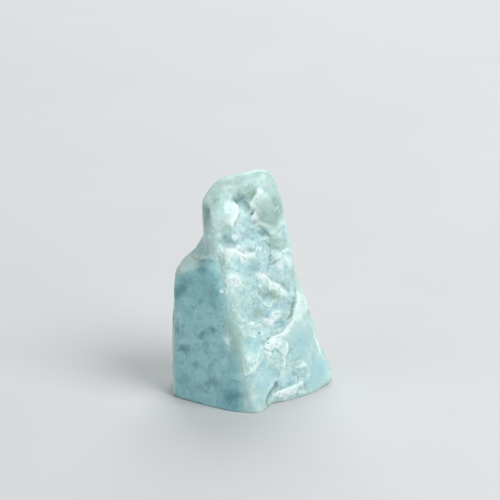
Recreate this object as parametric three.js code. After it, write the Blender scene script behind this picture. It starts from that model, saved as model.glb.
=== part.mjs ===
// Rough larimar: one half-tumbled piece of blue pectolite that stands on a flat foot.
// A flat polished face looks to the front left, and the front right is broken stone.
// Millimetres, +Z up, the front looks towards -Y, the origin is under the middle of the box.
import * as THREE from 'three';
import { mergeVertices } from 'three/addons/utils/BufferGeometryUtils.js';

// Driving dimensions
const STONE_WIDTH = 30.0;
const STONE_DEPTH = 24.0;
const STONE_HEIGHT = 43.2;
const EDGE_ROUNDING = 0.55;
const LATTICE_STEPS = 28;
const EVENING_ROUNDS = 20;
const EVENING_SHARE = 0.8;
const RELIEF_SOFTENING = 0.4;

// Where rays towards the surface start: the middle of the stone, spread along its height
const CORE = new THREE.Vector3(-1.5, -0.5, 17);
const CORE_SPREAD = 12;
const RAY_LENGTH = 60;
const RAY_STEPS = 60;
const STEP_SHARE = 0.85;
const LAST_GAP = 0.6;
const HALVINGS = 14;

// The flat faces that bound each lump of the stone. A face has a heading, in degrees from +X
// towards +Y, a lift, in degrees above level, and a point that it goes through.
const face = (heading, lift, x, y, z) => {
  const turn = THREE.MathUtils.degToRad(heading);
  const rise = THREE.MathUtils.degToRad(lift);
  const level = Math.cos(rise);
  const normal = new THREE.Vector3(level * Math.cos(turn), level * Math.sin(turn), Math.sin(rise));
  return new THREE.Plane().setFromNormalAndCoplanarPoint(normal, new THREE.Vector3(x, y, z));
};
const FOOT = face(270, -90, 0, 0, 0);

// The wide base, whose front right is the broken face
const BASE = [
  face(-49.5, 15.5, 3.9, -7.5, 0.5),
  face(-22, 17, 14.5, 0.2, 3),
  face(4, 17, 14.9, 2, 3),
  face(60, 12, 11, 9, 5),
  face(95, 10, 3, 12, 3),
  face(150, 8, -7, 9, 5),
  face(200, 5, -10, 0, 10),
  face(242.5, 1.6, -14, -3.2, 1),
  face(10, 46, 8.3, 3, 22.6),
  face(80, 50, 3, 9, 22),
  face(300, 40, 2, -3, 23),
  FOOT,
];

// The tower that rises from it, with the sloping top of the knob
const TOWER = [
  face(296, 9, -7, -6.5, 28),
  face(330, 10, 5.6, -2.2, 30),
  face(2, 10, 7.9, 3, 27),
  face(50, 8, 5.5, 6, 30),
  face(92, 8, 0, 7.5, 30),
  face(135, 6, -6.5, 6.5, 30),
  face(182, -3, -9.2, 0, 32),
  face(225, 2, -8.4, -4.6, 32),
  face(242.5, 1.6, -14, -3.4, 1),
  face(200, 70, 2, 0, 43.6),
  face(180, 38, -8.4, 0, 39.2),
  face(0, 32, 4.9, 0, 41),
  face(300, 48, 1, -3, 41.6),
  face(285, 42, 0, -4.2, 41.3),
  face(90, 45, 0, 4.8, 40.8),
  FOOT,
];

// The block on the left, with the polished face, the shoulder and the nose at its right end
const BLOCK = [
  face(180, 0, -14.8, 0, 10),
  face(242.5, 1.6, -14.4, -4.2, 1),
  face(-47, 18.2, 0.9, -12, 1),
  face(12, 20, 2.8, -7, 1.5),
  face(-24, 8, 2.3, -7.2, 0),
  face(95, 8, -8, 8.5, 8),
  face(140, 6, -12.5, 5.5, 8),
  face(192, 60, -12.4, 2, 26.9),
  face(180, 32, -14.3, 2, 25),
  face(238, 44, -11.5, -4.6, 26.3),
  face(95, 50, -10, 6.5, 23.5),
  face(30, 30, -4.5, -6, 24),
  FOOT,
];

// The slope of the neck, between shoulder and knob
const NECK = [
  face(212, 38, -8.7, -3.6, 28.2),
  face(242.5, 1.6, -14, -3.4, 1),
  face(150, 8, -9.2, 3.5, 27),
  face(30, 0, -2, 0, 20),
  face(330, 15, -4, -6, 28),
  face(80, 5, -4, 6, 28),
  face(190, 2, -12.6, 0, 15),
  FOOT,
];

// Lumps in the order in which they join, each with the width of its rounded inner corner
const LUMPS = [
  { faces: BASE, fillet: 1 },
  { faces: TOWER, fillet: 1.6 },
  { faces: BLOCK, fillet: 1.3 },
  { faces: NECK, fillet: 1.8 },
];

// Marks on the front are placed on a sheet square to a line of sight that looks down a little:
// x is across and y is up the sheet, from the point where the origin falls on it.
const SIGHT = THREE.MathUtils.degToRad(22);
const SIGHT_LINE = new THREE.Vector3(0, -Math.cos(SIGHT), Math.sin(SIGHT));

const BROKEN_FRONT = [
  [-5.4, 36.6], [-0.2, 38.1], [3.1, 37.3], [5.0, 33.6], [6.8, 28.1], [7.2, 25.1], [8.9, 21.4],
  [9.1, 17.7], [8.1, 14.7], [6.7, 11.2], [7.6, 8.6], [11.3, 3.6], [13.9, 1.6], [9.4, -1.4],
  [3.9, -2.1], [2.0, 0.3], [-0.7, 2.2], [-1.5, 5.7], [-1.9, 7.7], [-3.1, 11.4], [-4.4, 16.0],
  [-5.4, 19.7], [-6.8, 24.0], [-7.2, 28.1], [-7.0, 33.2],
];

// Hollows have a depth, and lumps a depth below nought
const FRONT_DENTS = [
  { at: [-0.9, 34.2], half: [4.2, 4.2], turn: -15, depth: 1.5 },
  { at: [0.4, 32.3], half: [1.5, 0.8], turn: 60, depth: 0.9 },
  { at: [-2.6, 34.4], half: [0.8, 0.5], turn: -50, depth: 0.7 },
  { at: [1.1, 34.4], half: [1.1, 1.3], turn: 0, depth: -0.8 },
  { at: [-4.3, 31.4], half: [2.2, 3.5], turn: 10, depth: -0.5 },
  { at: [3.1, 27.5], half: [1.6, 1.7], turn: 0, depth: 0.8 },
  { at: [-4.3, 26.6], half: [3.4, 1.5], turn: 0, depth: 1.0 },
  { at: [3.7, 17.0], half: [1.0, 0.9], turn: 0, depth: 0.5 },
  { at: [2.6, 7.3], half: [1.5, 1.2], turn: 30, depth: -0.7 },
  { at: [3.7, 5.3], half: [1.3, 1.3], turn: 0, depth: -0.6 },
  { at: [5.0, 7.7], half: [2.2, 1.6], turn: 20, depth: 0.6 },
  { at: [-0.2, 3.5], half: [1.3, 2.4], turn: 0, depth: -0.4 },
  { at: [-14.8, 12.9], half: [1.6, 6.0], turn: 0, depth: 0.5 },
  { at: [-8.9, 31.0], half: [2.0, 3.6], turn: 0, depth: 0.5 },
];

// A ledge is raised on one side of its line, 1 for the left and -1 for the right. It steps up
// over the softness on each side of its line, and ledges and cracks run out towards their ends.
const LEDGE_SOFTNESS = 0.25;
const LEDGE_RUN_OUT = 0.18;
const CRACK_RUN_OUT = 0.12;
const FRONT_LEDGES = [
  { line: [[-5.5, 24.7], [-4.3, 23.8], [-2.6, 24.7], [-0.4, 23.6]], height: 0.9, reach: 1.3, side: -1 },
  { line: [[-5.0, 22.1], [-3.7, 19.9], [-1.5, 17.1]], height: 0.7, reach: 1.5, side: 1 },
  { line: [[1.7, 22.1], [3.1, 21.8], [5.4, 19.4], [7.4, 16.8], [8, 14.9]], height: 0.9, reach: 2.6, side: -1 },
  { line: [[8.0, 14.9], [6.5, 11.6], [3.7, 9.0], [2.0, 7.5]], height: 0.6, reach: 2.0, side: -1 },
  { line: [[9.4, 20.3], [8.5, 17], [8, 14.9], [6.7, 11.4], [2.2, 7]], height: 0.9, reach: 3, side: 1 },
  { line: [[9.1, 5.5], [9.6, 3.6], [11.5, 1.1]], height: 0.5, reach: 1.2, side: 1 },
  { line: [[3.7, -0.8], [5.4, 1.1], [7.6, 1.6], [10.0, 1.8]], height: 0.7, reach: 2.0, side: -1 },
];

const FRONT_CRACKS = [
  { line: [[8.0, 25.1], [6.3, 25.1], [4.8, 24.0], [3.1, 22.7], [2.6, 21.4]], width: 0.55, depth: 0.8 },
  { line: [[7.0, 22.1], [8.3, 18.8], [8.0, 14.9], [6.5, 11.4], [4.1, 9.2]], width: 0.55, depth: 1.1 },
  { line: [[1.3, -1.4], [2.4, 0.1], [4.3, 2.0], [6.1, 2.5], [8.3, 3.3]], width: 0.6, depth: 0.9 },
  { line: [[3.3, -3.0], [3.5, -1.5], [2.8, -0.1]], width: 0.6, depth: 1.3 },
];

// Marks on the back are placed by x and by height, as seen straight on
const BROKEN_BACK = [[-6, 9], [-1, 5], [6, 6], [9, 12], [6, 19], [2, 24], [-3, 21], [-7, 15]];
const BACK_BREAK_DEPTH = 0.35;
const BACK_DENTS = [
  { at: [-8, 26], half: [4.0, 6.0], turn: 20, depth: 0.7 },
  { at: [3, 33], half: [3.5, 5.0], turn: -15, depth: 0.8 },
  { at: [11, 8], half: [3.5, 5.0], turn: 10, depth: 0.6 },
  { at: [8, 24], half: [3.0, 4.0], turn: 0, depth: -0.5 },
];

// Chips of broken stone: small flat plates, each tilted and raised a little
const LARGE_CHIPS = { size: 4.2, tilt: 0.2, step: 0.42, shift: 0 };
const SMALL_CHIPS = { size: 1.9, tilt: 0.22, step: 0.12, shift: 5 };
const BACK_CHIPS_OFFSET = 40;
const CHIP_SHARPNESS = 9;

// Slow swelling of every face, and the wander that keeps the marks' outlines uneven
const SWELLS = [{ size: 6.5, height: 0.35, shift: 31 }, { size: 3.1, height: 0.12, shift: 7 }];
const WANDER_ACROSS = [{ size: 2.6, height: 0.35, shift: 11 }, { size: 1.1, height: 0.15, shift: 17 }];
const WANDER_UP = [{ size: 2.6, height: 0.35, shift: 23 }, { size: 1.1, height: 0.15, shift: 29 }];
const BACK_WANDER = 3.5;
const FOOT_DROP = 0.3;

// How squarely a face must look at the front, the back or the floor to take its marks
const FRONT_FACING = [0, 0.35];
const BACK_FACING = [0.2, 0.6];
const FLOOR_FACING = [0.5, 0.9];
const FRONT_BREAK_EDGE = [-0.3, 0.9];
const BACK_BREAK_EDGE = [-0.2, 1.2];

// Gaps over which the form's slope is taken, to stay on it and to raise relief from it
const FINE_GAP = 0.02;
const RELIEF_GAP = 1;

const { clamp, lerp, smoothstep } = THREE.MathUtils;
const fraction = (value) => value - Math.floor(value);

// The greatest of some values, with a rounded change from one to the next
function roundedMax(values, rounding) {
  const top = Math.max(...values);
  const sum = values.reduce((total, value) => total + Math.exp((value - top) / rounding), 0);
  return top + rounding * Math.log(sum);
}

// The lesser of two distances, with a fillet where they are alike
function filletMin(first, second, fillet) {
  const share = clamp(0.5 + (0.5 * (second - first)) / fillet, 0, 1);
  return lerp(second, first, share) - fillet * share * (1 - share);
}

// Distance outside the plain form, below nought inside it
function formDistance(point) {
  const parts = LUMPS.map(({ faces, fillet }) => {
    const distances = faces.map((plane) => plane.distanceToPoint(point));
    return { distance: roundedMax(distances, EDGE_ROUNDING), fillet };
  });
  return parts.slice(1).reduce(
    (total, { distance, fillet }) => filletMin(total, distance, fillet),
    parts[0].distance,
  );
}

// Steps in from far away along a ray until it meets the plain form, then halves the last gap
function traceForm(direction) {
  const start = CORE.clone();
  start.z += CORE_SPREAD * direction.z;
  const at = (reach) => direction.clone().multiplyScalar(reach).add(start);
  let reach = RAY_LENGTH;
  for (let step = 0; step < RAY_STEPS; step += 1) reach -= STEP_SHARE * formDistance(at(reach));
  let inner = reach - LAST_GAP;
  let outer = reach + LAST_GAP;
  for (let step = 0; step < HALVINGS; step += 1) {
    const middle = (inner + outer) / 2;
    if (formDistance(at(middle)) > 0) outer = middle;
    else inner = middle;
  }
  return at((inner + outer) / 2);
}

// The way the plain form faces at a point, taken over a fine gap or a wide one
function formNormal(point, gap) {
  const slope = ['x', 'y', 'z'].map((axis) => {
    const ahead = point.clone();
    const behind = point.clone();
    ahead[axis] += gap;
    behind[axis] -= gap;
    return formDistance(ahead) - formDistance(behind);
  });
  return new THREE.Vector3(...slope).normalize();
}

// Smooth noise in space: each lattice corner has a fixed value between -1 and 1
function swell(point, { size, height, shift }) {
  const place = point.clone().addScalar(shift).divideScalar(size);
  const cell = place.clone().floor();
  const [fx, fy, fz] = place.sub(cell).toArray().map((share) => share * share * (3 - 2 * share));
  let total = 0;
  for (let corner = 0; corner < 8; corner += 1) {
    const [i, j, k] = [corner & 1, (corner >> 1) & 1, corner >> 2];
    const key = (cell.x + i) * 13 + (cell.y + j) * 31 + (cell.z + k) * 57;
    const value = 2 * fraction(Math.sin(key) * 43.7585453) - 1;
    total += value * (i ? fx : 1 - fx) * (j ? fy : 1 - fy) * (k ? fz : 1 - fz);
  }
  return height * total;
}
const swells = (point, list) => list.reduce((total, item) => total + swell(point, item), 0);

// Height of a field of chips: an uneven lattice of seeds, each with its own small tilted plane
function chips(x, y, { size, tilt, step, shift }) {
  let heights = 0;
  let weights = 0;
  for (let i = -2; i <= 2; i += 1) {
    for (let j = -2; j <= 2; j += 1) {
      const column = Math.floor(x / size) + i;
      const row = Math.floor(y / size) + j;
      const seed = column * 17 + row * 29 + shift;
      const dx = x - (column + 0.1 + 0.8 * fraction(seed * 0.754877)) * size;
      const dy = y - (row + 0.1 + 0.8 * fraction(seed * 0.56984)) * size;
      const turn = 2 * Math.PI * fraction(seed * 0.381966);
      const slope = tilt * (0.4 + 0.6 * fraction(seed * 0.2714));
      const level = step * (2 * fraction(seed * 0.618034 + 0.3) - 1);
      const weight = Math.exp((-CHIP_SHARPNESS * (dx * dx + dy * dy)) / (size * size));
      heights += weight * (level + slope * (dx * Math.cos(turn) + dy * Math.sin(turn)));
      weights += weight;
    }
  }
  return heights / weights;
}

// Nearest place on a line of points: its distance, the side it is on and its share of the length
function nearestOn(line, x, y) {
  const lengths = line.slice(1).map(([bx, by], i) => Math.hypot(bx - line[i][0], by - line[i][1]));
  const total = lengths.reduce((sum, length) => sum + length, 0);
  let passed = 0;
  let best = { distance: Infinity, side: 0, share: 0 };
  lengths.forEach((length, i) => {
    const [ax, ay] = line[i];
    const [sx, sy] = [line[i + 1][0] - ax, line[i + 1][1] - ay];
    const [dx, dy] = [x - ax, y - ay];
    const along = clamp((dx * sx + dy * sy) / (length * length), 0, 1);
    const distance = Math.hypot(dx - along * sx, dy - along * sy);
    if (distance < best.distance) {
      best = { distance, side: Math.sign(sx * dy - sy * dx), share: (passed + along * length) / total };
    }
    passed += length;
  });
  return best;
}

// Distance inside a closed outline, below nought outside it
function insideOutline(outline, x, y) {
  let odd = false;
  outline.forEach(([ax, ay], i) => {
    const [bx, by] = outline[(i + 1) % outline.length];
    if (ay > y !== by > y && x < ((bx - ax) * (y - ay)) / (by - ay) + ax) odd = !odd;
  });
  const { distance } = nearestOn([...outline, outline[0]], x, y);
  return odd ? distance : -distance;
}

// Fades a mark out over a share of its line's length at each end
const runOut = (share, width) => smoothstep(share, 0, width) * smoothstep(1 - share, 0, width);

function dentHeight({ at, half, turn, depth }, x, y) {
  const [c, s] = [Math.cos(THREE.MathUtils.degToRad(turn)), Math.sin(THREE.MathUtils.degToRad(turn))];
  const [dx, dy] = [x - at[0], y - at[1]];
  const across = (dx * c + dy * s) / half[0];
  const up = (dy * c - dx * s) / half[1];
  return -depth * clamp(1 - across * across - up * up, 0, 1) ** 1.5;
}

function ledgeHeight({ line, height, reach, side }, x, y) {
  const near = nearestOn(line, x, y);
  const beyond = near.distance * near.side * side;
  const step = smoothstep(beyond, -LEDGE_SOFTNESS, LEDGE_SOFTNESS);
  return height * step * Math.exp(-Math.max(beyond, 0) / reach) * runOut(near.share, LEDGE_RUN_OUT);
}

function crackHeight({ line, width, depth }, x, y) {
  const near = nearestOn(line, x, y);
  return -depth * Math.exp(-((near.distance / width) ** 2)) * runOut(near.share, CRACK_RUN_OUT);
}

const total = (list, heightOf, x, y) => list.reduce((sum, item) => sum + heightOf(item, x, y), 0);

function frontHeight(x, y) {
  const broken = smoothstep(insideOutline(BROKEN_FRONT, x, y), ...FRONT_BREAK_EDGE);
  const chipped = chips(x, y, LARGE_CHIPS) + chips(x, y, SMALL_CHIPS);
  return (
    broken * chipped
    + total(FRONT_DENTS, dentHeight, x, y)
    + total(FRONT_LEDGES, ledgeHeight, x, y)
    + total(FRONT_CRACKS, crackHeight, x, y)
  );
}

function backHeight(x, y) {
  const broken = smoothstep(insideOutline(BROKEN_BACK, x, y), ...BACK_BREAK_EDGE);
  const chipped = chips(x + BACK_CHIPS_OFFSET, y, LARGE_CHIPS) + chips(x + BACK_CHIPS_OFFSET, y, SMALL_CHIPS);
  return broken * (chipped - BACK_BREAK_DEPTH) + total(BACK_DENTS, dentHeight, x, y);
}

// How far the stone's surface stands out from the plain form at a point of it
function reliefHeight(point, normal) {
  const across = swells(point, WANDER_ACROSS);
  const up = swells(point, WANDER_UP);
  const sheetHeight = point.z * Math.cos(SIGHT) + point.y * Math.sin(SIGHT);
  const facing = smoothstep(normal.dot(SIGHT_LINE), ...FRONT_FACING);
  const turnedAway = smoothstep(normal.y, ...BACK_FACING);
  const under = smoothstep(-normal.z, ...FLOOR_FACING);
  let height = swells(point, SWELLS);
  if (facing > 0) height += facing * frontHeight(point.x + across, sheetHeight + up);
  if (turnedAway > 0) {
    const back = backHeight(point.x + BACK_WANDER * across, point.z + BACK_WANDER * up);
    height += turnedAway * back;
  }
  return lerp(height, FOOT_DROP, under);
}

// The points that share an edge with each point of a mesh
function neighboursOf(geometry) {
  const neighbours = Array.from({ length: geometry.attributes.position.count }, () => new Set());
  const corners = geometry.index.array;
  for (let i = 0; i < corners.length; i += 3) {
    const [a, b, c] = corners.slice(i, i + 3);
    neighbours[a].add(b).add(c);
    neighbours[b].add(a).add(c);
    neighbours[c].add(a).add(b);
  }
  return neighbours.map((set) => [...set]);
}

// Evens out the lattice: each point moves to the middle of its neighbours and back onto the form
function evenOut(points, neighbours) {
  for (let round = 0; round < EVENING_ROUNDS; round += 1) {
    const middles = points.map((point, i) => {
      const middle = new THREE.Vector3();
      neighbours[i].forEach((j) => middle.add(points[j]));
      return middle.divideScalar(neighbours[i].length);
    });
    points.forEach((point, i) => {
      point.lerp(middles[i], EVENING_SHARE);
      point.addScaledVector(formNormal(point, FINE_GAP), -formDistance(point));
    });
  }
}

// Moves the points in or out by the relief, softened a little between neighbours
function raiseRelief(points, neighbours) {
  const normals = points.map((point) => formNormal(point, RELIEF_GAP));
  const heights = points.map((point, i) => reliefHeight(point, normals[i]));
  points.forEach((point, i) => {
    const around = neighbours[i].reduce((sum, j) => sum + heights[j], 0) / neighbours[i].length;
    point.addScaledVector(normals[i], lerp(heights[i], around, RELIEF_SOFTENING));
  });
}

// A box's lattice of directions, spread evenly in angle, moved out to the stone's surface.
// What falls below the foot is set on it, which leaves the flat spot that the stone stands on.
function stoneGeometry() {
  const box = new THREE.BoxGeometry(2, 2, 2, LATTICE_STEPS, LATTICE_STEPS, LATTICE_STEPS);
  box.deleteAttribute('normal');
  box.deleteAttribute('uv');
  const geometry = mergeVertices(box, 1e-4);
  const position = geometry.attributes.position;
  const points = [];
  for (let i = 0; i < position.count; i += 1) {
    const sides = new THREE.Vector3().fromBufferAttribute(position, i).toArray();
    const direction = new THREE.Vector3(...sides.map((side) => Math.tan((side * Math.PI) / 4)));
    points.push(traceForm(direction.normalize()));
  }
  const neighbours = neighboursOf(geometry);
  evenOut(points, neighbours);
  raiseRelief(points, neighbours);
  points.forEach(({ x, y, z }, i) => position.setXYZ(i, x, y, Math.max(z, 0)));
  return geometry;
}

// Brings the traced stone to its driving sizes, on the floor and over the origin
function fitToSize(geometry) {
  geometry.computeBoundingBox();
  const size = geometry.boundingBox.getSize(new THREE.Vector3());
  const centre = geometry.boundingBox.getCenter(new THREE.Vector3());
  geometry.translate(-centre.x, -centre.y, 0);
  geometry.scale(STONE_WIDTH / size.x, STONE_DEPTH / size.y, STONE_HEIGHT / size.z);
  return geometry;
}

const larimar = new THREE.MeshStandardMaterial({ color: 0xa9cfd0, roughness: 0.45, metalness: 0 });
const stone = new THREE.Mesh(fitToSize(stoneGeometry()), larimar);
stone.name = 'larimar_stone';

const part = new THREE.Group();
part.add(stone);

export default part;
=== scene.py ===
import bpy
import numpy as np
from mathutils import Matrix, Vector


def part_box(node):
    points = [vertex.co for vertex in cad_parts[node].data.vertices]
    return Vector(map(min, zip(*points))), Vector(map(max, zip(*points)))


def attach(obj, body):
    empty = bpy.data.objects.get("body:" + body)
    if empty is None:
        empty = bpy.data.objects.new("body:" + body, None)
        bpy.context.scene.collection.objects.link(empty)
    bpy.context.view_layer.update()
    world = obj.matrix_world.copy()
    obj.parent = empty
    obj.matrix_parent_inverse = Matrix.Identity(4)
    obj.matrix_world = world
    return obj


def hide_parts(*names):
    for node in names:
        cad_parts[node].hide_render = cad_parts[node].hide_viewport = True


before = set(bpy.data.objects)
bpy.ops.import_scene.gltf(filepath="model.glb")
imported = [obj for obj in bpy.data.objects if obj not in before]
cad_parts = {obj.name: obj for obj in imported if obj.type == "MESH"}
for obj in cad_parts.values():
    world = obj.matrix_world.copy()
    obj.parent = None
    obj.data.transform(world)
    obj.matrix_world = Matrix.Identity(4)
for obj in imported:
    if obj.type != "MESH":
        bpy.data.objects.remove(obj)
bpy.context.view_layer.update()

# The stone
# One piece of larimar, a blue pectolite, broken from its bed and half tumbled. Its old faces are
# worn smooth, the flat one at the front left is polished, and the front right is broken stone with
# ledges, hollows and cracks. It stands on its own flat foot.

# It is worked out in millimetres, and turned to metres when it is fitted to its box
MILLIMETRE = 0.001
EDGE_ROUNDING = 0.55


def faces(*rows):
    """The flat faces of one lump, as outward normals and how far out each lies along its normal.

    A row is a face's heading, in degrees from +X towards +Y, its lift, in degrees above level, and
    a point on it. The normal is (cos lift cos heading, cos lift sin heading, sin lift), and the
    face lies at the product of that normal with the point.
    """
    headings, lifts = np.radians(np.array([row[:2] for row in rows], float)).T
    level = np.cos(lifts)
    normals = np.stack([level * np.cos(headings), level * np.sin(headings), np.sin(lifts)], axis=1)
    points = np.array([row[2] for row in rows], float)
    return normals, (normals * points).sum(axis=1)


# The foot's face is the same for every lump. It lies a little below the ground, where it is cut
# level later.
FOOT = (270, -90, (0, 0, -0.35))

# The wide base, whose front right is the broken face
BASE = faces(
    (-49.5, 15.5, (3.9, -7.5, 0.5)),
    (-22, 17, (14.5, 0.2, 3)),
    (4, 17, (14.9, 2, 3)),
    (60, 12, (11, 9, 5)),
    (95, 10, (3, 12, 3)),
    (150, 8, (-7, 9, 5)),
    (200, 5, (-10, 0, 10)),
    (242.5, 1.6, (-14, -3.2, 1)),
    (10, 46, (8.3, 3, 22.6)),
    (80, 50, (3, 9, 22)),
    (300, 40, (2, -3, 23)),
    FOOT,
)

# The tower that rises from it, with the sloping top of the knob
TOWER = faces(
    (296, 9, (-7, -6.5, 28)),
    (330, 10, (5.6, -2.2, 30)),
    (2, 10, (7.9, 3, 27)),
    (50, 8, (5.5, 6, 30)),
    (92, 8, (0, 7.5, 30)),
    (135, 6, (-6.5, 6.5, 30)),
    (182, -8, (-8.7, 0, 32)),
    (225, 2, (-8.4, -4.6, 32)),
    (242.5, 1.6, (-14, -3.4, 1)),
    (197, 62.5, (2, 0, 43.6)),
    (180, 38, (-8.8, 0, 38.5)),
    (0, 32, (4.5, 0, 41)),
    (286, 32, (-5, -3.6, 38)),
    (262, 48, (-5, -2.7, 39.5)),
    (240, 62, (-5, -1.5, 40.4)),
    (90, 45, (0, 4.8, 40.8)),
    FOOT,
)

# The block on the left, with the polished face, the shoulder and the nose at its right end
BLOCK = faces(
    (180, 0, (-14.8, 0, 10)),
    (242.5, 1.6, (-14.4, -4.2, 1)),
    (-47, 18.2, (0.9, -12, 1)),
    (12, 20, (2.8, -7, 1.5)),
    (-24, 8, (2.3, -7.2, 0)),
    (268, -2, (-2.6, -10.4, 1)),
    (296, -3, (0.2, -10.0, 1)),
    (95, 8, (-8, 8.5, 8)),
    (140, 6, (-12.5, 5.5, 8)),
    (192, 60, (-12.4, 2, 26.1)),
    (180, 32, (-14.6, 2, 25.2)),
    (238, 44, (-11.5, -4.6, 26.7)),
    (95, 50, (-10, 6.5, 23.5)),
    (30, 30, (-4.5, -6, 24)),
    FOOT,
)

# The slope of the neck, between shoulder and knob
NECK = faces(
    (212, 38, (-7.8, -3.1, 27.4)),
    (242.5, 1.6, (-14, -3.4, 1)),
    (150, 8, (-9.2, 3.5, 27)),
    (30, 0, (-2, 0, 20)),
    (330, 15, (-4, -6, 28)),
    (80, 5, (-4, 6, 28)),
    (190, 2, (-12.6, 0, 15)),
    FOOT,
)

# Lumps in the order in which they join the base, with the widths of their rounded inner corners
JOINED_LUMPS = [(TOWER, 1.6), (BLOCK, 2.6), (NECK, 1.8)]


def lump(points, lump_faces):
    """Distance outside a lump and the way that it faces, at whole arrays of points.

    With d the distances to its faces, t the greatest of them and r the rounding, the distance is
    t + r log(sum exp((d - t) / r)), and its slope is the mean of the normals weighted by the exps.
    """
    normals, reaches = lump_faces
    distances = points @ normals.T - reaches
    top = distances.max(axis=1, keepdims=True)
    weights = np.exp((distances - top) / EDGE_ROUNDING)
    total = weights.sum(axis=1, keepdims=True)
    return (top + EDGE_ROUNDING * np.log(total))[:, 0], (weights / total) @ normals


def plain_form(points):
    """Distance outside the plain stone and its slope: the lesser of the lumps' distances.

    Where two distances a and b are within a fillet f of each other, with s = 0.5 + 0.5 (b - a) / f,
    the distance is b + (a - b) s - f s (1 - s), and the slope mixes theirs by s.
    """
    distance, slope = lump(points, BASE)
    for lump_faces, fillet in JOINED_LUMPS:
        other, other_slope = lump(points, lump_faces)
        share = np.clip(0.5 + 0.5 * (other - distance) / fillet, 0, 1)
        distance = other + (distance - other) * share - fillet * share * (1 - share)
        slope = other_slope + (slope - other_slope) * share[:, None]
    return distance, slope / np.linalg.norm(slope, axis=1, keepdims=True)


# The lattice of rays that finds the surface, in steps across, through and up the stone. The rays
# start from the middle, spread along the stone's height, and crowd a little towards the front.
LATTICE = (130, 60, 210)
CORE = np.array([-1.5, -0.5, 17.0])
CORE_SPREAD = 12.0
CROWDING = 0.3
RAY_LENGTH = 60.0
RAY_STEPS = 45
STEP_SHARE = 0.85
EVENING_ROUNDS = 10
EVENING_SHARE = 0.8


def box_lattice():
    """Points on the six sides of a box from -1 to 1, and the four corners of each of its cells.

    A side is a grid of two parameters; the third is held at -1 or 1. Points that sides share are
    merged, and every cell's corners run the same way round as seen from outside.
    """
    points, cells, count = [], [], 0
    for axis in range(3):
        first, second = (axis + 1) % 3, (axis + 2) % 3
        across, up = LATTICE[first], LATTICE[second]
        a, b = np.meshgrid(np.arange(across + 1), np.arange(up + 1), indexing="ij")
        corner = (np.arange(across)[:, None] * (up + 1) + np.arange(up)).ravel()
        for end in (-1, 1):
            side = np.empty((a.size, 3))
            side[:, axis] = end
            side[:, first] = 2 * a.ravel() / across - 1
            side[:, second] = 2 * b.ravel() / up - 1
            ring = [corner, corner + up + 1, corner + up + 2, corner + 1][::end]
            points.append(side)
            cells.append(np.stack(ring, axis=1) + count)
            count += a.size
    points, cells = np.concatenate(points), np.concatenate(cells)
    places, kept = np.unique(np.round(points, 6), axis=0, return_inverse=True)
    return places, kept.reshape(-1)[cells]


def ray_directions(places):
    """Directions through the lattice: each side tan(45 degrees x place), then made unit length.

    The heading h, from the front, becomes h - crowding sin h, so that rays crowd at the front.
    """
    x, y, z = np.tan(places * np.pi / 4).T
    heading = np.arctan2(x, -y)
    level = np.hypot(x, y)
    heading = heading - CROWDING * np.sin(heading)
    rays = np.stack([level * np.sin(heading), -level * np.cos(heading), z], axis=1)
    return rays / np.linalg.norm(rays, axis=1, keepdims=True)


def neighbour_means(cells, count):
    """A function that gives each point the mean of its neighbours' values, along the cells' edges."""
    edges = np.concatenate([cells[:, [i, (i + 1) % 4]] for i in range(4)])
    edges = np.unique(np.sort(edges, axis=1), axis=0)
    here = np.concatenate([edges[:, 0], edges[:, 1]])
    there = np.concatenate([edges[:, 1], edges[:, 0]])
    shares = 1 / np.bincount(here, minlength=count)

    def mean(values):
        columns = values.reshape(count, -1).T
        sums = [np.bincount(here, column[there], minlength=count) * shares for column in columns]
        return np.stack(sums, axis=1).reshape(values.shape)

    return mean


def traced_points(places, mean):
    """Each ray's point on the plain form, evened out.

    A point steps in from far away by a share of its distance to the form. Then, round by round,
    it moves towards the middle of its neighbours and back onto the form along its slope.
    """
    rays = ray_directions(places)
    starts = CORE + CORE_SPREAD * rays[:, 2:] * np.array([0.0, 0.0, 1.0])
    reach = np.full(len(rays), RAY_LENGTH)
    for _ in range(RAY_STEPS):
        reach -= STEP_SHARE * plain_form(starts + rays * reach[:, None])[0]
    points = starts + rays * reach[:, None]
    for _ in range(EVENING_ROUNDS):
        points += EVENING_SHARE * (mean(points) - points)
        distance, slope = plain_form(points)
        points -= distance[:, None] * slope
    return points


# Marks on the front are placed on a sheet square to a line of sight that looks down a little:
# x is across and y is up the sheet, in millimetres, from where the origin falls on it.
SIGHT = np.radians(22)
SIGHT_LINE = np.array([0, -np.cos(SIGHT), np.sin(SIGHT)])

# The outline of the broken front, which begins and is full so far inside it
FRONT_BREAK_EDGE = (-0.3, 0.9)
BROKEN_FRONT = [
    (-4.4, 16.0), (-5.1, 18.6), (-5.8, 21.5), (-6.6, 24.0), (-7.2, 27.5), (-5.6, 28.8), (-3.9, 30.0),
    (-2.9, 31.6), (-3.0, 33.8), (-3.8, 36.2), (-1.6, 38.0), (1.2, 37.8), (2.4, 35.6), (1.6, 33.2),
    (2.6, 31.0), (4.6, 29.2), (6.2, 31.5), (7.2, 28.0), (7.2, 25.1), (8.9, 21.4), (9.1, 17.7),
    (8.1, 14.7), (6.7, 11.2), (7.6, 8.6), (11.3, 3.6), (12.6, 2.2), (9.4, -1.4), (3.9, -2.1),
    (2.6, 0.3), (-0.2, 2.6), (-1.3, 5.7), (-1.5, 7.7), (-2.9, 11.4),
]

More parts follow.
